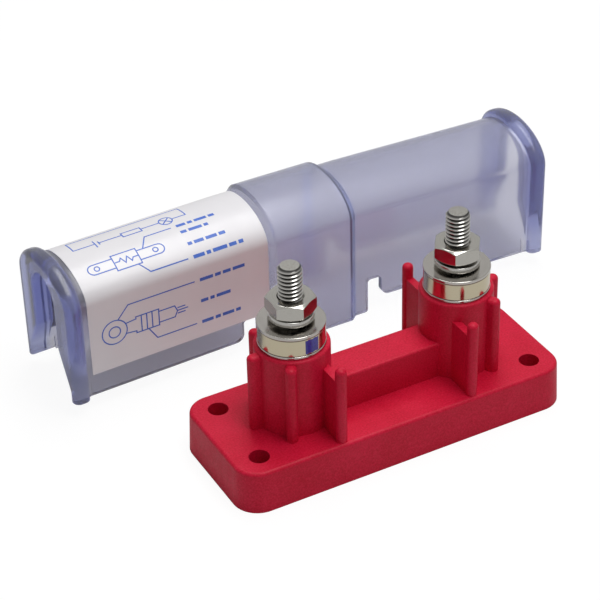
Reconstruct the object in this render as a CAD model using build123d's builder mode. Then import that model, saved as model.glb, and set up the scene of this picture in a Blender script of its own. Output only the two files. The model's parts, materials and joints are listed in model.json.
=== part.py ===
"""ANL fuse block: a moulded base with two studs, their hardware, and the clear cover stood behind it.

X runs along the base, Y to its back, Z up, from the middle of the base's underside. Millimetres.
"""
import os
from math import cos, radians, tan

from build123d import *

os.makedirs("parts", exist_ok=True)

# base: a flat foot with drafted sides
foot_length = 121.0
foot_width = 46.8
foot_height = 15.0
foot_corner = 8.8
foot_draft = 2.5
foot_edge = 1.2
hole_pitch_x = 101.2
hole_pitch_y = 28.4
hole_diameter = 6.8

# stud posts and the ribs round their outer halves
stud_pitch = 61.0
post_diameter = 24.6
post_top = 43.7
post_edge = 0.8
rib_reach = 15.9
rib_thickness = 3.8
rib_top = 42.9
rib_round = 1.4
rib_angles = (60, 0, -60)

# fins that the cover's notches drop over, each with a bead on its outer edge
fin_x = 24.2
fin_thickness = 2.6
fin_top = 37.7
bead_y = 20.0
bead_diameter = 3.7
bead_top = 42.8
bead_round = 1.5

# bar between the posts
bar_width = 13.1
bar_top = 28.1
bar_edge = 0.8

# studs: hexagon bolts put in from below
stud_diameter = 7.94
stud_top = 72.05
stud_end_chamfer = 0.9
stud_bore = 8.2
head_across_flats = 12.7
head_height = 5.3
head_seat = 8.5
head_chamfer = 0.5
pocket_clearance = 0.1

# what lies on each post, from the bottom up
washer_diameter = 22.1
washer_bore = 8.7
washer_thickness = 1.1
washer_edge = 0.25
spacer_diameter = 21.8
spacer_bore = 8.6
spacer_thickness = 6.1
spacer_edge = 0.3
lock_outer_diameter = 14.9
lock_bore = 8.3
lock_thickness = 1.95
lock_rise = 1.7
lock_split = 12
lock_turn = {"left": 24, "right": -124}

# nuts
nut_across_flats = 14.3
nut_height = 5.4
nut_bore = 8.1
nut_face = 13.6
nut_chamfer_angle = 30
nut_mouth_chamfer = 0.4
nut_turn = {"left": 30, "right": 54.5}

# cover: where it stands
cover_x = 7.9
cover_y = 72.7

# cover: a tunnel of thin wall with a half-ellipse roof
cover_length = 188.0
tunnel_width = 33.4
wall_height = 35.6
roof_rise = 9.1
wall = 2.2
arm_bow = 0.0392

# cover: skirts between the notches
skirt_drop = 5.3
skirt_corner = 1.0
notch_clearance = 1.0
notch_lead = 2.0
notch_rise = 8.1
notch_round = 1.2
arm_corner = 3.0

# cover: the raised middle
bulge_length = 29.2
bulge_rise = 2.0
bulge_shoulder = 2.3

# cover: thick ends, each a rounded bead on a sloping root, with a slot for the cable
end_thickness = 6.0
end_rise = 2.6
end_edge = 2.4
root_length = 1.6
root_height = 0.8
root_sink = 0.1
slot_width = 16.4
slot_top = 41.2
slot_flare_top = 17.0
slot_flare_bottom = 4.0
leg_width = 3.8
leg_flat = 0.4
half_turn = 180

# wiring label: a sticker wrapped over the roof from wall to wall
label_thickness = 0.15
adhesive = 0.05
label_hem = 8.2
label_end_gap = 2.1
label_bulge_gap = 0.3

# places worked out from the sizes above
stud_x = stud_pitch / 2
lower_washer_z = post_top
spacer_z = lower_washer_z + washer_thickness
upper_washer_z = spacer_z + spacer_thickness
lock_z = upper_washer_z + washer_thickness
nut_z = lock_z + lock_thickness + lock_rise
notch_inner = fin_x - fin_thickness / 2 - notch_clearance
notch_outer = fin_x + fin_thickness / 2 + notch_lead
half_length = cover_length / 2
bulge_foot = bulge_length / 2 + bulge_shoulder
middle_half = fin_x
slot_arch_z = skirt_drop + slot_top - slot_width / 2
sides = {"left": -1, "right": 1}


def save(builder, name):
    """Label a finished piece and write it."""
    builder.part.label = name
    export_step(builder.part, f"parts/{name}.step")
    print(f"{name}: {len(builder.part.solids())} solid(s), {builder.part.volume:.1f} mm3")


# one rib, standing on the foot and reaching out along +X
with BuildPart() as rib:
    with BuildSketch():
        with Locations(((rib_reach - rib_thickness / 2) / 2, 0)):
            Rectangle(rib_reach - rib_thickness / 2, rib_thickness)
        with Locations((rib_reach - rib_thickness / 2, 0)):
            Circle(rib_thickness / 2)
    extrude(amount=rib_top - foot_height)
    fillet(rib.faces().sort_by(Axis.Z)[-1].edges(), rib_round)

# one fin, standing on the foot and reaching out along +Y to its bead
with BuildPart() as fin:
    with BuildSketch():
        with Locations((0, bead_y / 2)):
            Rectangle(fin_thickness, bead_y)
    extrude(amount=fin_top - foot_height)
    with BuildSketch():
        with Locations((0, bead_y)):
            Circle(bead_diameter / 2)
    extrude(amount=bead_top - foot_height)
    fillet(fin.faces().sort_by(Axis.Z)[-1].edges(), bead_round)

# base: foot, bar, posts, ribs and fins in one moulding
with BuildPart() as base:
    with BuildSketch():
        RectangleRounded(foot_length, foot_width, foot_corner)
    extrude(amount=foot_height, taper=foot_draft)
    fillet(base.faces().sort_by(Axis.Z)[-1].edges(), foot_edge)
    with BuildSketch(Plane.XY.offset(foot_height)):
        Rectangle(stud_pitch, bar_width)
    extrude(amount=bar_top - foot_height)
    fillet(base.faces().sort_by(Axis.Z)[-1].edges().filter_by(Axis.X), bar_edge)
    with BuildSketch(Plane.XY.offset(foot_height)):
        with Locations((-stud_x, 0), (stud_x, 0)):
            Circle(post_diameter / 2)
    extrude(amount=post_top - foot_height)
    fillet(base.faces().group_by(Axis.Z)[-1].edges(), post_edge)
    for side in sides.values():
        for angle in rib_angles:
            turn = angle if side > 0 else half_turn - angle
            with Locations(Location((side * stud_x, 0, foot_height), (0, 0, turn))):
                add(rib.part)
        for turn in (0, half_turn):
            with Locations(Location((side * fin_x, 0, foot_height), (0, 0, turn))):
                add(fin.part)
    with Locations((-stud_x, 0, post_top), (stud_x, 0, post_top)):
        Hole(stud_bore / 2)
    with BuildSketch():
        with Locations((-stud_x, 0), (stud_x, 0)):
            RegularPolygon(head_across_flats / 2 + pocket_clearance, 6, major_radius=False)
    extrude(amount=head_seat, mode=Mode.SUBTRACT)
    with Locations(Plane.XY.offset(foot_height)):
        with GridLocations(hole_pitch_x, hole_pitch_y, 2, 2):
            Hole(hole_diameter / 2)
save(base, "base")


def ring(outer, bore, thickness, edge, z, x):
    """A flat ring with softened edges, its underside at height z."""
    with BuildPart() as piece:
        with BuildSketch(Plane.XY.offset(z)):
            with Locations((x, 0)):
                Circle(outer / 2)
                Circle(bore / 2, mode=Mode.SUBTRACT)
        extrude(amount=thickness)
        fillet(piece.edges().filter_by(GeomType.CIRCLE), edge)
    return piece


for name, side in sides.items():
    x = side * stud_x

    with BuildPart() as stud:
        with BuildSketch(Plane.XY.offset(head_seat)):
            with Locations((x, 0)):
                RegularPolygon(head_across_flats / 2, 6, major_radius=False)
        extrude(amount=-head_height)
        chamfer(stud.faces().sort_by(Axis.Z)[0].edges(), head_chamfer)
        with BuildSketch(Plane.XY.offset(head_seat)):
            with Locations((x, 0)):
                Circle(stud_diameter / 2)
        extrude(amount=stud_top - head_seat)
        chamfer(stud.faces().sort_by(Axis.Z)[-1].edges(), stud_end_chamfer)
    save(stud, f"stud_{name}")

    washer_size = (washer_diameter, washer_bore, washer_thickness, washer_edge)
    spacer_size = (spacer_diameter, spacer_bore, spacer_thickness, spacer_edge)
    save(ring(*washer_size, lower_washer_z, x), f"lower_washer_{name}")
    save(ring(*spacer_size, spacer_z, x), f"spacer_{name}")
    save(ring(*washer_size, upper_washer_z, x), f"upper_washer_{name}")

    # spring washer: one turn of flat bar wound on edge, open at the split
    coil_radius = (lock_outer_diameter + lock_bore) / 4
    coil_width = (lock_outer_diameter - lock_bore) / 2
    coil_turn = (360 - lock_split) / 360
    coil_pitch = lock_rise / coil_turn
    with BuildPart() as lock_washer:
        coil_plane = Plane((x, 0, lock_z + lock_thickness / 2)).rotated((0, 0, lock_turn[name]))
        with BuildLine(coil_plane) as coil:
            Helix(pitch=coil_pitch, height=lock_rise, radius=coil_radius)
        with BuildSketch(Plane(coil.line @ 0, x_dir=(0, 0, 1), z_dir=coil.line % 0)):
            Rectangle(lock_thickness, coil_width)
        sweep(is_frenet=True)
    save(lock_washer, f"lock_washer_{name}")

    # nut: a hexagon with its corners turned off top and bottom
    corner_radius = nut_across_flats / 2 / cos(radians(30))
    corner_drop = (corner_radius - nut_face / 2) * tan(radians(nut_chamfer_angle))
    with BuildPart() as nut:
        with BuildSketch(Plane.XY.offset(nut_z)):
            with Locations((x, 0)):
                RegularPolygon(nut_across_flats / 2, 6, major_radius=False, rotation=nut_turn[name])
        extrude(amount=nut_height)
        with BuildSketch(Plane((x, 0, nut_z), x_dir=(1, 0, 0), z_dir=(0, -1, 0))):
            with BuildLine():
                Polyline(
                    (0, 0),
                    (nut_face / 2, 0),
                    (corner_radius, corner_drop),
                    (corner_radius, nut_height - corner_drop),
                    (nut_face / 2, nut_height),
                    (0, nut_height),
                    close=True,
                )
            make_face()
        revolve(axis=Axis((x, 0, 0), (0, 0, 1)), mode=Mode.INTERSECT)
        with Locations((x, 0, nut_z + nut_height)):
            Hole(nut_bore / 2)
        circles = nut.edges().filter_by(GeomType.CIRCLE)
        mouths = circles.filter_by(lambda edge: edge.radius < nut_face / 2 - nut_mouth_chamfer)
        chamfer(mouths, nut_mouth_chamfer)
    save(nut, f"nut_{name}")


def cross_plane(distance):
    """Plane across the cover at a distance along X from its middle, following the bow of the arms."""
    bow = arm_bow * max(abs(distance) - middle_half, 0)
    return Plane((cover_x + distance, cover_y - bow, 0), x_dir=(0, 1, 0), z_dir=(1, 0, 0))


def square_plane(side, distance):
    """Plane square to one arm, its normal pointing out along the arm."""
    middle = cross_plane(side * distance).origin
    return Plane(middle, x_dir=(arm_bow, side, 0), z_dir=(side, -arm_bow, 0))


def arch(plane, half_width, foot_z, spring_z, rise):
    """Face across the cover: a box with half an ellipse on it, Y across and Z up."""
    with BuildSketch(plane) as face:
        with BuildLine():
            Polyline(
                (-half_width, spring_z),
                (-half_width, foot_z),
                (half_width, foot_z),
                (half_width, spring_z),
            )
            EllipticalCenterArc((0, spring_z), half_width, rise, 0, arc_size=half_turn)
        make_face()
    return face.sketch


def slot(plane):
    """Face of the cable slot: round at the top, flared out to the legs at its foot."""
    with BuildSketch(plane) as face:
        with BuildLine():
            Polyline(
                (-slot_width / 2, slot_arch_z),
                (-slot_width / 2, wall_foot + slot_flare_top),
                (-slot_foot, wall_foot + slot_flare_bottom),
                (-slot_foot, below),
                (slot_foot, below),
                (slot_foot, wall_foot + slot_flare_bottom),
                (slot_width / 2, wall_foot + slot_flare_top),
                (slot_width / 2, slot_arch_z),
            )
            CenterArc((0, slot_arch_z), slot_width / 2, 0, arc_size=half_turn)
        make_face()
    return face.sketch


def straight(section, half_span, mode=Mode.ADD):
    """Run a section through the cover's straight middle."""
    extrude(arch(cross_plane(-half_span), *section), amount=2 * half_span, dir=(1, 0, 0), mode=mode)


def push_along_arm(face, side, length, mode=Mode.ADD):
    """Extrude a face outwards along a bowed arm, by a length measured along X."""
    along = Vector(side, -arm_bow, 0)
    extrude(face, amount=length * along.length, dir=along.normalized(), mode=mode)


def arm(side, section, start, end, mode=Mode.ADD):
    """Run a section out along one arm, from start to end measured from the cover's middle."""
    push_along_arm(arch(cross_plane(side * start), *section), side, end - start, mode)


def swelling(low, high, mode=Mode.ADD):
    """Raised middle: the high section, with a shoulder down to the low one at each end."""
    half_top = bulge_length / 2
    loft(
        [
            arch(cross_plane(-bulge_foot), *low).face(),
            arch(cross_plane(-half_top), *high).face(),
            arch(cross_plane(half_top), *high).face(),
            arch(cross_plane(bulge_foot), *low).face(),
        ],
        ruled=True,
        mode=mode,
    )


# cover sections, each as half width, foot, top of the wall and rise of the roof
tunnel_half = tunnel_width / 2
hollow_half = tunnel_half - wall
wall_foot = skirt_drop
wall_top = wall_foot + wall_height
hollow_rise = roof_rise - wall
below = -1
tunnel = (tunnel_half, wall_foot, wall_top, roof_rise)
root_high = (tunnel_half + root_height, wall_foot, wall_top, roof_rise + root_height)
root_low = (tunnel_half - root_sink, wall_foot, wall_top, roof_rise - root_sink)
skirted = (tunnel_half, 0, wall_top, roof_rise)
hollow = (hollow_half, below, wall_top, hollow_rise)
end_block = (tunnel_half + end_rise, wall_foot, wall_top, roof_rise + end_rise)
raised = (tunnel_half + bulge_rise, 0, wall_top, roof_rise + bulge_rise)
raised_hollow = (hollow_half + bulge_rise, below, wall_top, hollow_rise + bulge_rise)

# half width of the slot's foot, and the rounding that leaves a flat on each leg's end
slot_foot = tunnel_half + end_rise - leg_width
slot_edge = leg_width - end_edge - leg_flat

# thick ends, rounded all the way up one side, over the roof and down the other
ends = {}
for name, side in sides.items():
    with BuildPart() as end:
        inner_face = arch(square_plane(side, half_length - end_thickness), *end_block)
        push_along_arm(inner_face, side, end_thickness)
        end_faces = end.faces().filter_by(square_plane(side, half_length))
        fillet(end_faces.edges().filter_by(Plane.XY, reverse=True), end_edge)
    ends[name] = end.part

with BuildPart() as cover:
    # tunnel, skirts and raised middle
    straight(tunnel, middle_half)
    for name, side in sides.items():
        arm(side, tunnel, middle_half, half_length - end_thickness / 2)
        add(ends[name])
    straight(skirted, notch_inner)
    swelling(skirted, raised)
    # sloping root of each end, running out on the tunnel
    for side in sides.values():
        loft(
            [
                arch(square_plane(side, half_length - end_thickness / 2), *root_high).face(),
                arch(square_plane(side, half_length - end_thickness - root_length), *root_low).face(),
            ],
            ruled=True,
        )
    # hollow inside, up to the ends
    straight(hollow, middle_half, Mode.SUBTRACT)
    for side in sides.values():
        arm(side, hollow, middle_half, half_length - end_thickness, Mode.SUBTRACT)
    swelling(hollow, raised_hollow, Mode.SUBTRACT)
    # cable slot in each end, its outer edge softened
    for side in sides.values():
        slot_face = slot(cross_plane(side * (half_length - end_thickness - wall)))
        push_along_arm(slot_face, side, end_thickness + 2 * wall, Mode.SUBTRACT)
        slot_edges = cover.edges(Select.LAST).filter_by(Plane.XY, reverse=True)
        fillet(slot_edges.group_by(Axis((0, 0, 0), (side, -arm_bow, 0)))[-1], slot_edge)
    # notches that drop over the base's fins
    notch_height = wall_foot + notch_rise - below
    with BuildSketch(Plane((cover_x, cover_y, below), x_dir=(1, 0, 0), z_dir=(0, -1, 0))):
        for side in sides.values():
            with Locations((side * (notch_inner + notch_outer) / 2, notch_height / 2)):
                notch = Rectangle(notch_outer - notch_inner, notch_height)
            fillet(notch.vertices().group_by(Axis.Z)[-1], notch_round)
    extrude(amount=tunnel_width, both=True, mode=Mode.SUBTRACT)
    # rounded lower corners of the skirts, and of the arms beside the notches
    level_edges = cover.edges().filter_by(Axis.Y)
    arm_corners = level_edges.filter_by(
        lambda edge: abs(abs(edge.center().X - cover_x) - notch_outer) < 0.01
        and abs(edge.center().Z - wall_foot) < 0.01
    )
    fillet(arm_corners, arm_corner)
    fillet(level_edges.group_by(Axis.Z)[0], skirt_corner)
save(cover, "cover")

# label: the sticker, from just inside the left end to the foot of the raised middle
label_foot = wall_foot + label_hem
label_start = bulge_foot + label_bulge_gap
label_end = half_length - end_thickness - label_end_gap
label_back = (tunnel_half + adhesive, below, wall_top, roof_rise + adhesive)
label_front_half = tunnel_half + adhesive + label_thickness
label_front = (label_front_half, label_foot, wall_top, roof_rise + adhesive + label_thickness)
with BuildPart() as label:
    middle_face = arch(cross_plane(-middle_half), *label_front)
    extrude(middle_face, amount=middle_half - label_start, dir=(1, 0, 0))
    arm(-1, label_front, middle_half, half_length)
    straight(label_back, middle_half, Mode.SUBTRACT)
    arm(-1, label_back, middle_half, half_length, Mode.SUBTRACT)
    split(bisect_by=square_plane(-1, label_end), keep=Keep.BOTTOM)
save(label, "label")
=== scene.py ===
"""The looks of a bolt-down fuse block and its clear cover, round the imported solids, in metres."""
import json
from math import atan2, ceil, cos, hypot, pi, radians, sin, tan

import bmesh
import bpy
from mathutils import Matrix, Vector


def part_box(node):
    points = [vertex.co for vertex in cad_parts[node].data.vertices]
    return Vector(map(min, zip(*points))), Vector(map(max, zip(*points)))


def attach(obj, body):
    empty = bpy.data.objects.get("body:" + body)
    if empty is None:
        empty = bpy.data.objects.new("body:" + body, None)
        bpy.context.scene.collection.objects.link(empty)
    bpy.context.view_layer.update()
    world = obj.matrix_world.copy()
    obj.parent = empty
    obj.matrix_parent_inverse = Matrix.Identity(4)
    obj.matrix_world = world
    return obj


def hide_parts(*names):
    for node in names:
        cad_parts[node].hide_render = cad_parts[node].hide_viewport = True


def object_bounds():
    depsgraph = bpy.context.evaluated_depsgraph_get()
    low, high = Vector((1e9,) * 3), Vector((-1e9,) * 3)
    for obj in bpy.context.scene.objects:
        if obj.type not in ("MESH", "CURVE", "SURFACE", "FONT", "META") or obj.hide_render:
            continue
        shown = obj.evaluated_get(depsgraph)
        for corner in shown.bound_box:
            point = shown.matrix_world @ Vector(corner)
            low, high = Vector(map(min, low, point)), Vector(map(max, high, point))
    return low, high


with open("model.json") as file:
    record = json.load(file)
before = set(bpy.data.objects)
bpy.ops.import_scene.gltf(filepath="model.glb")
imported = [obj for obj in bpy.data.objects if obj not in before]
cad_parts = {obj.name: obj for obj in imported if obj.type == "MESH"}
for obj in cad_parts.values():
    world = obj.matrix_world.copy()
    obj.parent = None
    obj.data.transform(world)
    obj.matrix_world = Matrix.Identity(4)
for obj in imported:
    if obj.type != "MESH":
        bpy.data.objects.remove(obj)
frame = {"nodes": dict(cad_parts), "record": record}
cad_low, cad_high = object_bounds()
mm = 0.001

# Camera: a long lens, a little to the left of the block's front and looking down on it.
# Its turn, tilt and distance were fitted to the base's outline, its holes and its studs.
camera_azimuth = radians(-27.941)
camera_elevation = radians(34.403)
camera_roll = radians(-1.491)
camera_distance = 711.66 * mm
camera_target = Vector((-4.677, 42.437, 25.0)) * mm
camera_lens = 126.12
back = Vector((
    sin(camera_azimuth) * cos(camera_elevation),
    -cos(camera_azimuth) * cos(camera_elevation),
    sin(camera_elevation),
))
level_right = (-back).cross(Vector((0, 0, 1))).normalized()
level_up = back.cross(level_right)
right = level_right * cos(camera_roll) + level_up * sin(camera_roll)
up = level_up * cos(camera_roll) - level_right * sin(camera_roll)
camera = bpy.data.objects.new("camera", bpy.data.cameras.new("camera"))
camera.data.lens = camera_lens
camera.data.sensor_width = 36
camera.data.clip_start = 0.05
camera.matrix_world = (
    Matrix.Translation(camera_target + back * camera_distance)
    @ Matrix((right, up, back)).transposed().to_4x4()
)
bpy.context.collection.objects.link(camera)
bpy.context.scene.camera = camera


# Base: one thick moulding in red glass-filled plastic, screwed down through its corner holes.
# The mould leaves a fine satin grain on it, with faint cloudy patches.
red = (0.505, 0.001, 0.022)
red_pale = (0.665, 0.010, 0.050)
grain_size = 0.6 * mm
grain_depth = 0.045 * mm
grain_strength = 0.7
grain_share = 0.7
speckle_range = (0.35, 0.65)
cloud_size = 14 * mm
base_roughness = (0.42, 0.54)
base_sheen_size = cloud_size / 3


def new_material(name, **sockets):
    """A material with one Principled shader, its sockets set by name, and its node tree's parts."""
    material = bpy.data.materials.new(name)
    material.use_nodes = True
    shader = material.node_tree.nodes["Principled BSDF"]
    for socket, value in sockets.items():
        shader.inputs[socket.replace("_", " ")].default_value = value
    return material, material.node_tree, shader


def add_node(tree, kind, **settings):
    """A node with its properties and its input sockets set by name."""
    node = tree.nodes.new("ShaderNode" + kind)
    for key, value in settings.items():
        if hasattr(node, key):
            setattr(node, key, value)
        else:
            node.inputs[key.replace("_", " ")].default_value = value
    return node


def noise(tree, size, detail=3.0, place=None):
    """Noise in the object's own coordinates, with features of a real size."""
    if place is None:
        place = add_node(tree, "TexCoord").outputs["Object"]
    node = add_node(tree, "TexNoise", Scale=1 / size, Detail=detail)
    tree.links.new(place, node.inputs["Vector"])
    return node.outputs["Fac"]


def spread(tree, factor, low, high, start=0.3, end=0.7):
    """A number or a colour that runs from low to high as the factor runs from start to end."""
    share = add_node(tree, "MapRange", From_Min=start, From_Max=end)
    tree.links.new(factor, share.inputs["Value"])
    if not hasattr(low, "__len__"):
        share.inputs["To Min"].default_value = low
        share.inputs["To Max"].default_value = high
        return share.outputs["Result"]
    mix = add_node(tree, "Mix", data_type="RGBA")
    tree.links.new(share.outputs["Result"], mix.inputs["Factor"])
    mix.inputs[6].default_value = (*low, 1)
    mix.inputs[7].default_value = (*high, 1)
    return mix.outputs[2]


def bump(tree, shader, height, depth, strength=1.0):
    """Fine relief of a real depth on a shader's surface."""
    node = add_node(tree, "Bump", Strength=strength, Distance=depth)
    tree.links.new(height, node.inputs["Height"])
    tree.links.new(node.outputs["Normal"], shader.inputs["Normal"])


def dress(thing, *materials):
    """Give an object these materials in place of any that it came with."""
    thing.data.materials.clear()
    for material in materials:
        thing.data.materials.append(material)


moulding, tree, shader = new_material("red_moulding", Specular_IOR_Level=0.22)
grain = noise(tree, grain_size, 2.0)
clouds = add_node(tree, "Math", operation="MULTIPLY")
tree.links.new(noise(tree, cloud_size), clouds.inputs[0])
clouds.inputs[1].default_value = 1 - grain_share
speckle = add_node(tree, "Math", operation="MULTIPLY_ADD")
tree.links.new(grain, speckle.inputs[0])
speckle.inputs[1].default_value = grain_share
tree.links.new(clouds.outputs[0], speckle.inputs[2])
tree.links.new(
    spread(tree, speckle.outputs[0], red, red_pale, *speckle_range),
    shader.inputs["Base Color"],
)
tree.links.new(
    spread(tree, noise(tree, base_sheen_size), *base_roughness),
    shader.inputs["Roughness"],
)
bump(tree, shader, grain, grain_depth, grain_strength)
dress(frame["nodes"]["base"], moulding)


# Studs: two stainless 5/16 inch hexagon bolts, put in from below and held by their heads.
# The thread is rolled, 18 turns an inch, and ends in a turned chamfer and a rough cut end.
sides = ("left", "right")
stud_pitch = 61.0 * mm
thread_pitch = frame["record"]["behaviour"]["couplings"][0]["ratio"] * 2 * pi
stud_radius = 3.97 * mm
thread_root = 3.15 * mm
crest_round = 0.07 * mm
thread_start = 30 * mm
end_chamfer = 0.9 * mm
head_height = 5.3 * mm
head_chamfer = 0.5 * mm
thread_profile = (
    (0.0, thread_root),
    (0.14, thread_root),
    (0.47, stud_radius - crest_round),
    (0.51, stud_radius),
    (0.61, stud_radius),
    (0.65, stud_radius - crest_round),
)
round_steps = 64
weld_distance = 0.002 * mm
stainless_colour = (0.58, 0.565, 0.535)
root_shade_colour = (0.09, 0.088, 0.085)
root_shade_from = 3.4 * mm
root_shade_to = 0.99 * stud_radius
thread_cloud = 1.5 * mm
thread_roughness = (0.18, 0.27)
thread_pits = 0.3 * mm
thread_pit_depth = 0.01 * mm
cut_patches = 0.6 * mm
cut_dark = (0.25, 0.24, 0.22)
cut_bright = (0.42, 0.41, 0.38)
cut_cloud = 1.2 * mm
cut_roughness = (0.3, 0.42)
cut_scores = 0.4 * mm
cut_score_depth = 0.05 * mm
turned_line = 0.12 * mm
turned_depth = 0.004 * mm
turned_shade = 0.86
handling_size = 3 * mm


def skin(mesh, rings):
    """Faces between one closed ring of vertices and the next."""
    for lower, upper in zip(rings, rings[1:]):
        for i in range(len(lower)):
            j = (i + 1) % len(lower)
            mesh.faces.new((lower[i], lower[j], upper[j], upper[i]))


def finish_mesh(name, mesh, sharp=radians(35)):
    """Weld and close a bmesh, shade it smooth up to its sharp edges, and link it as an object."""
    bmesh.ops.remove_doubles(mesh, verts=mesh.verts, dist=weld_distance)
    bmesh.ops.dissolve_degenerate(mesh, edges=mesh.edges, dist=weld_distance)
    bmesh.ops.holes_fill(mesh, edges=[e for e in mesh.edges if e.is_boundary], sides=0)
    bmesh.ops.recalc_face_normals(mesh, faces=mesh.faces)
    for face in mesh.faces:
        face.smooth = True
    for edge in mesh.edges:
        edge.smooth = len(edge.link_faces) == 2 and edge.calc_face_angle(0) < sharp
    data = bpy.data.meshes.new(name)
    mesh.to_mesh(data)
    mesh.free()
    thing = bpy.data.objects.new(name, data)
    bpy.context.collection.objects.link(thing)
    return thing


def hexagon_radius(angle, across_flats):
    """Distance from the middle of a hexagon to its side, with a corner at angle 0."""
    return across_flats / 2 / cos((angle % (pi / 3)) - pi / 6)


def threaded_bolt(name, node):
    """Hexagon head, plain shank and helical thread in one skin, along Z."""
    low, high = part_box(node)
    centre = (low + high) / 2
    head_flats = high.y - low.y
    mesh = bmesh.new()
    turn = [2 * pi * i / round_steps for i in range(round_steps)]

    def vertex(radius, angle, z):
        return mesh.verts.new((centre.x + radius * cos(angle), centre.y + radius * sin(angle), z))

    head = [hexagon_radius(a, head_flats) for a in turn]
    seat = low.z + head_height
    skin(mesh, [
        [vertex(r - head_chamfer, a, low.z) for r, a in zip(head, turn)],
        [vertex(r, a, low.z + head_chamfer) for r, a in zip(head, turn)],
        [vertex(r, a, seat) for r, a in zip(head, turn)],
        [vertex(stud_radius, a, seat) for a in turn],
        [vertex(stud_radius, a, thread_start) for a in turn],
    ])
    turns = ceil((high.z - thread_start) / thread_pitch) + 1
    helix = []
    for n in range(-round_steps, turns * round_steps):
        strip = []
        for share, radius in thread_profile:
            z = thread_start + thread_pitch * (n / round_steps + share)
            if z < thread_start:
                z, radius = thread_start, stud_radius
            z = min(z, high.z)
            radius = min(radius, stud_radius - end_chamfer + high.z - z)
            strip.append(vertex(radius, 2 * pi * (n % round_steps) / round_steps, z))
        helix.append(strip)
    for n, (this, following) in enumerate(zip(helix, helix[1:])):
        columns = list(zip(this, following))
        if n + round_steps + 1 < len(helix):
            columns.append((helix[n + round_steps][0], helix[n + round_steps + 1][0]))
        for (a, b), (c, d) in zip(columns, columns[1:]):
            mesh.faces.new((a, b, d, c))
    return finish_mesh(name, mesh)


def round_axis(tree):
    """Where a point lies round the nearer stud's axis: its radius, and its height."""
    place = add_node(tree, "SeparateXYZ")
    tree.links.new(add_node(tree, "TexCoord").outputs["Object"], place.inputs["Vector"])
    fold = add_node(tree, "Math", operation="ABSOLUTE")
    tree.links.new(place.outputs["X"], fold.inputs[0])
    across = add_node(tree, "Math", operation="SUBTRACT")
    tree.links.new(fold.outputs[0], across.inputs[0])
    across.inputs[1].default_value = stud_pitch / 2
    flat = add_node(tree, "CombineXYZ")
    tree.links.new(across.outputs[0], flat.inputs["X"])
    tree.links.new(place.outputs["Y"], flat.inputs["Y"])
    radius = add_node(tree, "VectorMath", operation="LENGTH")
    tree.links.new(flat.outputs[0], radius.inputs[0])
    found = add_node(tree, "CombineXYZ")
    tree.links.new(radius.outputs["Value"], found.inputs["X"])
    tree.links.new(place.outputs["Z"], found.inputs["Z"])
    return found.outputs[0]


def turned_metal(name, colour, roughness):
    """Bright metal with fine turned lines round the stud's axis, and cloudy handling marks."""
    material, tree, shader = new_material(name, Metallic=1.0)
    lines = noise(tree, turned_line, 2.0, round_axis(tree))
    marks = noise(tree, handling_size)
    tree.links.new(spread(tree, marks, *roughness), shader.inputs["Roughness"])
    darker = tuple(c * turned_shade for c in colour)
    tree.links.new(spread(tree, lines, darker, colour), shader.inputs["Base Color"])
    bump(tree, shader, lines, turned_depth, strength=0.6)
    return material


stud_steel, tree, shader = new_material("thread_steel", Metallic=1.0)
reach = add_node(tree, "SeparateXYZ")
tree.links.new(round_axis(tree), reach.inputs["Vector"])
# Painted shade: the thread is coloured from near black in its roots to bright on its crests.
tree.links.new(
    spread(tree, reach.outputs["X"], root_shade_colour, stainless_colour, root_shade_from, root_shade_to),
    shader.inputs["Base Color"],
)
tree.links.new(
    spread(tree, noise(tree, thread_cloud), *thread_roughness),
    shader.inputs["Roughness"],
)
bump(tree, shader, noise(tree, thread_pits), thread_pit_depth, strength=0.5)
cut_steel, tree, shader = new_material("cut_steel", Metallic=1.0)
tree.links.new(
    spread(tree, noise(tree, cut_patches), cut_dark, cut_bright),
    shader.inputs["Base Color"],
)
tree.links.new(
    spread(tree, noise(tree, cut_cloud), *cut_roughness),
    shader.inputs["Roughness"],
)
bump(tree, shader, noise(tree, cut_scores), cut_score_depth, strength=0.8)
for side in sides:
    stud = threaded_bolt(f"threaded_stud_{side}", f"stud_{side}")
    dress(stud, stud_steel, cut_steel)
    top = max(v.co.z for v in stud.data.vertices)
    for face in stud.data.polygons:
        if face.normal.z > 0.99 and face.center.z > top - 0.01 * mm:
            face.material_index = 1
    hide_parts(f"stud_{side}")
    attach(stud, "root")


# Washers: plain stamped stainless discs, polished, one under and one over the spacer on each post.
# Their faces mirror the hardware above them, and their edges are rounded by tumbling.
washer_colour = (0.53, 0.505, 0.47)
washer_roughness = (0.13, 0.22)
washer_steel = turned_metal("washer_steel", washer_colour, washer_roughness)
for side in sides:
    dress(frame["nodes"][f"lower_washer_{side}"], washer_steel)
    dress(frame["nodes"][f"upper_washer_{side}"], washer_steel)


# Spacers: thick turned rings, bright nickel plated, clamped between the washers by the nuts.
# Their edges are painted dark at the washers, as painted shade. The left one has a dab of blue
# paint.
nickel = (0.57, 0.51, 0.37)
seam_shade_colour = (0.05, 0.05, 0.055)
seam_shade_width = 0.42 * mm
plate_roughness = (0.1, 0.2)
paint_patches = 1.0 * mm
paint_dark = (0.016, 0.013, 0.22)
paint_light = (0.03, 0.028, 0.36)
paint_cloud = 0.6 * mm
paint_roughness = (0.25, 0.4)
low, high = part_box("spacer_left")


def off_middle(tree, axis, middle):
    """Distance of a point from a plane across one of the object's axes."""
    place = add_node(tree, "SeparateXYZ")
    tree.links.new(add_node(tree, "TexCoord").outputs["Object"], place.inputs["Vector"])
    beyond = add_node(tree, "Math", operation="SUBTRACT")
    tree.links.new(place.outputs[axis], beyond.inputs[0])
    beyond.inputs[1].default_value = middle
    distance = add_node(tree, "Math", operation="ABSOLUTE")
    tree.links.new(beyond.outputs[0], distance.inputs[0])
    return distance.outputs[0]


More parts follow.
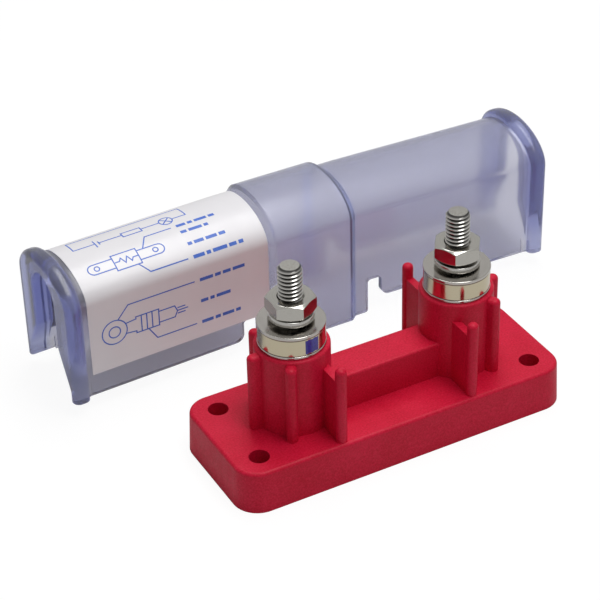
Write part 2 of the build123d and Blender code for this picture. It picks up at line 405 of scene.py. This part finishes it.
spacer_plate, tree, shader = new_material("spacer_plate", Metallic=1.0)
half_thickness = (high.z - low.z) / 2
from_middle = off_middle(tree, "Z", (low.z + high.z) / 2)
# Painted shade: the colour falls to near black within a seam's width of the top and bottom edges.
tree.links.new(
    spread(tree, from_middle, nickel, seam_shade_colour, half_thickness - seam_shade_width, half_thickness),
    shader.inputs["Base Color"],
)
tree.links.new(
    spread(tree, noise(tree, handling_size), *plate_roughness),
    shader.inputs["Roughness"],
)
lines = noise(tree, turned_line, 2.0, round_axis(tree))
bump(tree, shader, lines, turned_depth, strength=0.6)
for side in sides:
    dress(frame["nodes"][f"spacer_{side}"], spacer_plate)

mark_angle = radians(-82)
mark_width = 4.9 * mm
mark_margin = 0.55 * mm
mark_thickness = 0.04 * mm
mark_ragged = 0.12 * mm
mark_steps = 12
centre_x = (low.x + high.x) / 2
spacer_radius = (high.x - low.x) / 2
mesh = bmesh.new()
rings = []
for i in range(mark_steps + 1):
    a = mark_angle + (i / mark_steps - 0.5) * mark_width / spacer_radius
    ragged = mark_ragged * sin(5 * i)
    rings.append([
        mesh.verts.new((centre_x + r * cos(a), r * sin(a), z))
        for r, z in (
            (spacer_radius - mark_thickness, low.z + mark_margin + ragged),
            (spacer_radius + mark_thickness, low.z + mark_margin + ragged),
            (spacer_radius + mark_thickness, high.z - mark_margin + ragged),
            (spacer_radius - mark_thickness, high.z - mark_margin + ragged),
        )
    ])
skin(mesh, rings)
mark = finish_mesh("spacer_mark", mesh)
blue_paint, tree, shader = new_material("blue_paint", Coat_Weight=0.3)
tree.links.new(
    spread(tree, noise(tree, paint_patches), paint_dark, paint_light),
    shader.inputs["Base Color"],
)
tree.links.new(
    spread(tree, noise(tree, paint_cloud), *paint_roughness),
    shader.inputs["Roughness"],
)
dress(mark, blue_paint)
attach(mark, "root")


# Spring washers: flat stainless bar wound on edge for one turn and left open at the split.
# The bar's corners are rounded, and it climbs clockwise, as is usual under a right-hand nut.
coil_low_end = {"left": radians(160), "right": radians(56)}
coil_turn = radians(348)
bar_width = 3.3 * mm
bar_thickness = 1.95 * mm
bar_corner = 0.3 * mm
coil_outer = 7.45 * mm
coil_steps = 120
coil_roughness = (0.18, 0.3)
coil_steel = turned_metal("spring_steel", stainless_colour, coil_roughness)


def round_bar(width, height, corner, steps=3):
    """Corners of a bar's section in order, each rounded, as offsets from its middle."""
    points = []
    for across, along, start in ((1, 1, 0), (-1, 1, 90), (-1, -1, 180), (1, -1, 270)):
        for i in range(steps + 1):
            a = radians(start + 90 * i / steps)
            points.append((
                across * (width / 2 - corner) + corner * cos(a),
                along * (height / 2 - corner) + corner * sin(a),
            ))
    return points


for side in sides:
    low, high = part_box(f"lock_washer_{side}")
    rise = high.z - low.z - bar_thickness
    centre_x = (low.x + high.x) / 2
    mesh = bmesh.new()
    rings = []
    for i in range(coil_steps + 1):
        share = i / coil_steps
        a = coil_low_end[side] - coil_turn * share
        z = low.z + bar_thickness / 2 + rise * share
        rings.append([
            mesh.verts.new((
                centre_x + (coil_outer - bar_width / 2 + r) * cos(a),
                (coil_outer - bar_width / 2 + r) * sin(a),
                z + h,
            ))
            for r, h in round_bar(bar_width, bar_thickness, bar_corner)
        ])
    skin(mesh, rings)
    coil = finish_mesh(f"spring_washer_{side}", mesh, radians(50))
    dress(coil, coil_steel)
    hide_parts(f"lock_washer_{side}")
    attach(coil, f"lock_washer_{side}")


# Nuts: stainless hexagon nuts, screwed down on the spring washers.
# Their corners are turned off at 30 degrees top and bottom, so that each flat ends in a curve,
# and the bore opens in a small countersink.
nut_flats = 14.3 * mm
nut_face = 13.6 * mm
nut_cone = radians(30)
nut_bore = 8.1 * mm
nut_mouth = 0.4 * mm
nut_steps = 96
nut_edge = 0.12 * mm
nut_colour = (0.53, 0.515, 0.475)
nut_roughness = (0.12, 0.2)
nut_steel = turned_metal("nut_steel", nut_colour, nut_roughness)


def farthest_angle(node, centre):
    """Angle of the vertex farthest from a node's axis: one of a hexagon's corners."""
    corner = max(
        (vertex.co for vertex in frame["nodes"][node].data.vertices),
        key=lambda p: hypot(p.x - centre.x, p.y - centre.y),
    )
    return atan2(corner.y - centre.y, corner.x - centre.x)


for side in sides:
    low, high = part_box(f"nut_{side}")
    centre = (low + high) / 2
    corner = farthest_angle(f"nut_{side}", centre)
    mesh = bmesh.new()
    turn = [2 * pi * i / nut_steps for i in range(nut_steps)]
    outer = [hexagon_radius(a, nut_flats) for a in turn]
    drop = [(r - nut_face / 2) * tan(nut_cone) for r in outer]

    def ring(radii, heights):
        return [
            mesh.verts.new((centre.x + r * cos(a + corner), centre.y + r * sin(a + corner), z))
            for r, z, a in zip(radii, heights, turn)
        ]

    def level(radius, z):
        return ring([radius] * nut_steps, [z] * nut_steps)

    rings = [
        level(nut_bore / 2, low.z + nut_mouth),
        level(nut_bore / 2 + nut_mouth, low.z),
        level(nut_face / 2, low.z),
        ring(outer, [low.z + d for d in drop]),
        ring(outer, [high.z - d for d in drop]),
        level(nut_face / 2, high.z),
        level(nut_bore / 2 + nut_mouth, high.z),
        level(nut_bore / 2, high.z - nut_mouth),
    ]
    skin(mesh, rings + rings[:1])
    nut = finish_mesh(f"hexagon_nut_{side}", mesh, radians(20))
    edges = nut.modifiers.new("worn_edges", "BEVEL")
    edges.width = nut_edge
    edges.segments = 2
    edges.limit_method = "ANGLE"
    edges.angle_limit = radians(20)
    dress(nut, nut_steel)
    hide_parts(f"nut_{side}")
    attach(nut, f"nut_{side}")


# Cover: one thin-walled moulding in clear vinyl with a faint blue cast and a misty surface.
# It is pushed down over the posts by hand, and stands apart here. The colour deepens where
# the plastic is thick, at the ends and along the right step of the raised middle.
vinyl_tint = (0.26, 0.32, 0.76)
vinyl_density = 140
vinyl_clear = (0.935, 0.925, 0.94)
vinyl_deep = (0.68, 0.74, 1.0)
crease_shade = (0.86, 0.86, 0.92)
end_shade = (0.80, 0.83, 0.97)
cover_low, cover_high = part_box("cover")
cover_middle = (cover_low.x + cover_high.x) / 2
step_place = cover_middle + 15.7 * mm
step_fade = (0.5 * mm, 1.9 * mm)
wall_top = 40.9 * mm
crease_fade = (0.15 * mm, 0.5 * mm)
end_fade = (86.5 * mm, 88.5 * mm)
no_shade = (1, 1, 1)
mist_size = 12 * mm
mist_roughness = (0.19, 0.26)
vinyl, tree, shader = new_material(
    "clear_vinyl",
    Transmission_Weight=0.87,
    IOR=1.35,
    Specular_IOR_Level=0.5,
    Coat_Weight=0.35,
    Coat_Roughness=0.17,
)
tint = spread(tree, off_middle(tree, "X", step_place), vinyl_deep, vinyl_clear, *step_fade)
# The first factor is painted shade: a thin darker band along the crease at the top of the walls.
for deeper in (
    spread(tree, off_middle(tree, "Z", wall_top), crease_shade, no_shade, *crease_fade),
    spread(tree, off_middle(tree, "X", cover_middle), no_shade, end_shade, *end_fade),
):
    both = add_node(tree, "Mix", data_type="RGBA", blend_type="MULTIPLY")
    both.inputs["Factor"].default_value = 1
    tree.links.new(tint, both.inputs[6])
    tree.links.new(deeper, both.inputs[7])
    tint = both.outputs[2]
tree.links.new(tint, shader.inputs["Base Color"])
tree.links.new(
    spread(tree, noise(tree, mist_size), *mist_roughness),
    shader.inputs["Roughness"],
)
inside = add_node(tree, "VolumeAbsorption", Color=(*vinyl_tint, 1), Density=vinyl_density)
tree.links.new(inside.outputs["Volume"], tree.nodes["Material Output"].inputs["Volume"])
dress(frame["nodes"]["cover"], vinyl)


# Label: a satin white plastic sticker wrapped over the cover's left arm, from wall to wall.
# It hides what is behind it and catches a broad soft highlight along the turn of the roof.
film_patches = 20 * mm
film_dark = (0.80, 0.785, 0.81)
film_light = (0.85, 0.835, 0.86)
film_cloud = 6 * mm
film_roughness = (0.3, 0.4)
film_ripple = 4 * mm
film_ripple_depth = 0.04 * mm
film, tree, shader = new_material("label_film", Coat_Weight=0.15, Coat_Roughness=0.14)
tree.links.new(
    spread(tree, noise(tree, film_patches), film_dark, film_light),
    shader.inputs["Base Color"],
)
tree.links.new(
    spread(tree, noise(tree, film_cloud), *film_roughness),
    shader.inputs["Roughness"],
)
bump(tree, shader, noise(tree, film_ripple), film_ripple_depth, strength=0.3)
dress(frame["nodes"]["label"], film)


# Print on the label: thin blue lines of a plain wiring sketch, screen printed as raised ink.
# It shows a bolt-down fuse, a cable lug and a small circuit, each with rows of short bars.
label_low, label_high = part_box("label")
label_half = 16.9 * mm
label_hem = label_low.z
label_rise = 9.3 * mm
label_wall = label_high.z - label_rise - label_hem
arm_start = 24.2 * mm
arm_bow = 0.0392
cover_line = label_high.y - label_half
ink_width = 0.42 * mm
ink_lift = 0.035 * mm
ink_step = 1.2 * mm
ink_patches = 3 * mm
ink_dark = (0.045, 0.13, 0.56)
ink_light = (0.075, 0.19, 0.66)
ink_cloud = 1.5 * mm
ink_roughness = (0.35, 0.5)
bar_height = 1.25 * mm
bar_gap = 0.8
roof_steps = 90
roof_arc = [0.0]
for i in range(roof_steps):
    middle = pi * (i + 0.5) / roof_steps
    roof_arc.append(
        roof_arc[-1] + hypot(label_half * sin(middle), label_rise * cos(middle)) * pi / roof_steps
    )


def on_label(u, v, lift=0.0):
    """A point on the label: u from its left end, v up the wall from its hem and over the roof."""
    x = label_low.x + u
    line = cover_line - arm_bow * max(abs(x - cover_middle) - arm_start, 0)
    if v < label_wall:
        return Vector((x, line - label_half - lift, label_hem + v))
    over = v - label_wall
    i = min(sum(length <= over for length in roof_arc[1:]), roof_steps - 1)
    share = (over - roof_arc[i]) / (roof_arc[i + 1] - roof_arc[i])
    a = pi * (i + share) / roof_steps
    outward = Vector((0, -cos(a) / label_half, sin(a) / label_rise)).normalized()
    point = Vector((x, line - label_half * cos(a), label_hem + label_wall + label_rise * sin(a)))
    return point + outward * lift


def ink_line(mesh, points, width=ink_width):
    """A raised line of ink through points given on the label in millimetres."""
    path = []
    for (u, v), (s, t) in zip(points, points[1:]):
        pieces = max(1, ceil(hypot(s - u, t - v) * mm / ink_step))
        path += [
            Vector((u + (s - u) * k / pieces, v + (t - v) * k / pieces)) * mm for k in range(pieces)
        ]
    path.append(Vector(points[-1]) * mm)
    closed = (path[0] - path[-1]).length < 0.01 * mm
    rings = []
    for i, point in enumerate(path):
        before = path[i - 1] if i else path[-2] if closed else None
        after = path[i + 1] if i + 1 < len(path) else path[1] if closed else None
        along = [(q - p).normalized() for p, q in ((before, point), (point, after)) if p and q]
        heading = (along[0] + along[-1]).normalized()
        mitre = width / 2 / max(heading.dot(along[0]), 0.5)
        offset = Vector((-heading.y, heading.x)) * mitre
        left = point + offset
        right_edge = point - offset
        rings.append([
            mesh.verts.new(on_label(*left, -ink_lift)),
            mesh.verts.new(on_label(*left, ink_lift)),
            mesh.verts.new(on_label(*right_edge, ink_lift)),
            mesh.verts.new(on_label(*right_edge, -ink_lift)),
        ])
    skin(mesh, rings)


def circle(u, v, radius, start=0, turn=360, steps=24):
    """Points on an arc, in millimetres and degrees."""
    angles = [radians(start + turn * i / steps) for i in range(steps + 1)]
    return [(u + radius * cos(a), v + radius * sin(a)) for a in angles]


def box(u, v, width, height):
    """Points round a box with its middle at u, v."""
    w, h = width / 2, height / 2
    return [(u - w, v - h), (u + w, v - h), (u + w, v + h), (u - w, v + h), (u - w, v - h)]


def bars(mesh, u, v, lengths):
    """A row of short solid bars, from its left end."""
    for length in lengths:
        ink_line(mesh, [(u, v), (u + length, v)], bar_height)
        u += length + bar_gap


mesh = bmesh.new()
# the fuse, over the front of the roof
for points in (
    box(20, 39, 9, 6.4),
    [(15.5, 41), (8, 41), *circle(8, 39, 2, 90, 180, 10)[1:-1], (8, 37), (15.5, 37)],
    [(24.5, 41), (32, 41), *circle(32, 39, 2, 90, -180, 10)[1:-1], (32, 37), (24.5, 37)],
    circle(9.2, 39, 0.9),
    circle(30.8, 39, 0.9),
    [(15.5, 39), (17.5, 39), (18.3, 40.2), (19.4, 37.8)]
    + [(20.6, 40.2), (21.7, 37.8), (22.5, 39), (24.5, 39)],
    [(27, 41), (30, 46), (40, 46)],
    [(23, 35.8), (26, 32), (40, 32)],
):
    ink_line(mesh, points)
# the lug and its cable, on the wall
for points in (
    circle(10.5, 14, 4.6),
    circle(10.5, 14, 2.1),
    [(14.7, 16), (18.5, 16.4), (18.5, 17.2), (27, 17.2)]
    + [(27, 10.8), (18.5, 10.8), (18.5, 11.6), (14.7, 12)],
    [(27, 16.2), (33, 16.2), (34, 14), (33, 11.8), (27, 11.8)],
    [(20.5, 17.2), (20.5, 10.8)],
    [(22.5, 17.2), (22.5, 10.8)],
    [(24.5, 17.2), (24.5, 10.8)],
    [(34, 15.1), (37, 15.1)],
    [(34, 14), (38, 14)],
    [(34, 12.9), (37, 12.9)],
    [(12, 18.4), (16, 23), (41, 23)],
    [(23, 10.8), (26, 6), (41, 6)],
):
    ink_line(mesh, points)
# the circuit, along the top of the roof
for points in (
    [(6, 58), (6, 51), (14, 51)],
    [(14, 48.6), (14, 53.4)],
    [(15.4, 49.8), (15.4, 52.2)],
    [(15.4, 51), (24, 51)],
    box(27.5, 51, 7, 2.6),
    [(31, 51), (38, 51)],
    circle(40.4, 51, 2.4),
    [(38.7, 49.3), (42.1, 52.7)],
    [(38.7, 52.7), (42.1, 49.3)],
    [(42.8, 51), (48, 51), (48, 58), (6, 58)],
):
    ink_line(mesh, points)
bars(mesh, 42, 46, (3.4, 1.8, 4.6, 2.2))
bars(mesh, 42, 42.5, (2.2, 5.0, 1.6))
bars(mesh, 42, 32, (4.2, 1.6, 5.4, 2.8, 1.8))
bars(mesh, 42, 37, (1.6, 3.6, 4.2, 2.4))
bars(mesh, 43, 23, (5.0, 2.2, 3.0, 4.6))
bars(mesh, 43, 14.5, (2.8, 1.6, 5.4))
bars(mesh, 43, 6, (4.4, 2.0, 4.4, 1.8))
drawing = finish_mesh("label_print", mesh)
blue_ink, tree, shader = new_material("blue_ink")
tree.links.new(
    spread(tree, noise(tree, ink_patches), ink_dark, ink_light),
    shader.inputs["Base Color"],
)
tree.links.new(spread(tree, noise(tree, ink_cloud), *ink_roughness), shader.inputs["Roughness"])
dress(drawing, blue_ink)
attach(drawing, "root")


# Room: a plain white floor, a wide soft light overhead and a dim even light all round.
# The backdrop is white to the camera and through the cover, and dimmer in the metal's mirror.
floor_half = 3.0
floor_drop = 0.02 * mm
floor_colour = (0.72, 0.72, 0.72)
floor_seen = (0.95, 0.95, 0.95)
floor_glow = 1.03
glow_levels = {"Is Camera Ray": 0.9, "Is Transmission Ray": 0.78, "Is Glossy Ray": 0.1}
backdrop_levels = {"Is Camera Ray": 1.0, "Is Transmission Ray": 1.0, "Is Glossy Ray": 0.6}
room_level = 0.25


def level_by_ray(tree, plain, levels):
    """A strength that is plain for diffuse rays, with a level of its own for each kind named."""
    rays = add_node(tree, "LightPath")
    strength = None
    for kind, level in levels.items():
        share = add_node(tree, "MapRange", To_Min=plain, To_Max=level)
        tree.links.new(rays.outputs[kind], share.inputs["Value"])
        if strength is not None:
            tree.links.new(strength, share.inputs["To Min"])
        strength = share.outputs["Result"]
    return strength


world = bpy.data.worlds.new("studio")
world.use_nodes = True
bpy.context.scene.world = world
tree = world.node_tree
backdrop = tree.nodes["Background"]
backdrop.inputs["Color"].default_value = (1, 1, 1, 1)
tree.links.new(level_by_ray(tree, room_level, backdrop_levels), backdrop.inputs["Strength"])

floor_mesh = bmesh.new()
bmesh.ops.create_grid(floor_mesh, x_segments=1, y_segments=1, size=floor_half)
floor = finish_mesh("floor", floor_mesh)
floor.location.z = cad_low.z - floor_drop
paper, tree, shader = new_material("white_paper", Roughness=0.9, Specular_IOR_Level=0.1)
seen = add_node(tree, "LightPath").outputs["Is Camera Ray"]
tree.links.new(spread(tree, seen, floor_colour, floor_seen, 0, 1), shader.inputs["Base Color"])
glow = add_node(tree, "Emission", Strength=floor_glow)
mix = add_node(tree, "MixShader")
tree.links.new(level_by_ray(tree, 0.0, glow_levels), mix.inputs[0])
tree.links.new(shader.outputs[0], mix.inputs[1])
tree.links.new(glow.outputs[0], mix.inputs[2])
tree.links.new(mix.outputs[0], tree.nodes["Material Output"].inputs["Surface"])
dress(floor, paper)


def soft_light(name, place, aim, width, depth, power):
    """A rectangular soft light that looks at a point."""
    lamp = bpy.data.lights.new(name, "AREA")
    lamp.shape = "RECTANGLE"
    lamp.size = width
    lamp.size_y = depth
    lamp.energy = power
    thing = bpy.data.objects.new(name, lamp)
    thing.location = place
    thing.rotation_euler = (Vector(aim) - Vector(place)).to_track_quat("-Z", "Y").to_euler()
    bpy.context.collection.objects.link(thing)


soft_light(
    "overhead_light",
    place=(0.12, 0.02, 0.75),
    aim=(0, 0.03, 0.03),
    width=0.9,
    depth=0.3,
    power=4.9,
)
bpy.context.scene.view_settings.view_transform = "Standard"
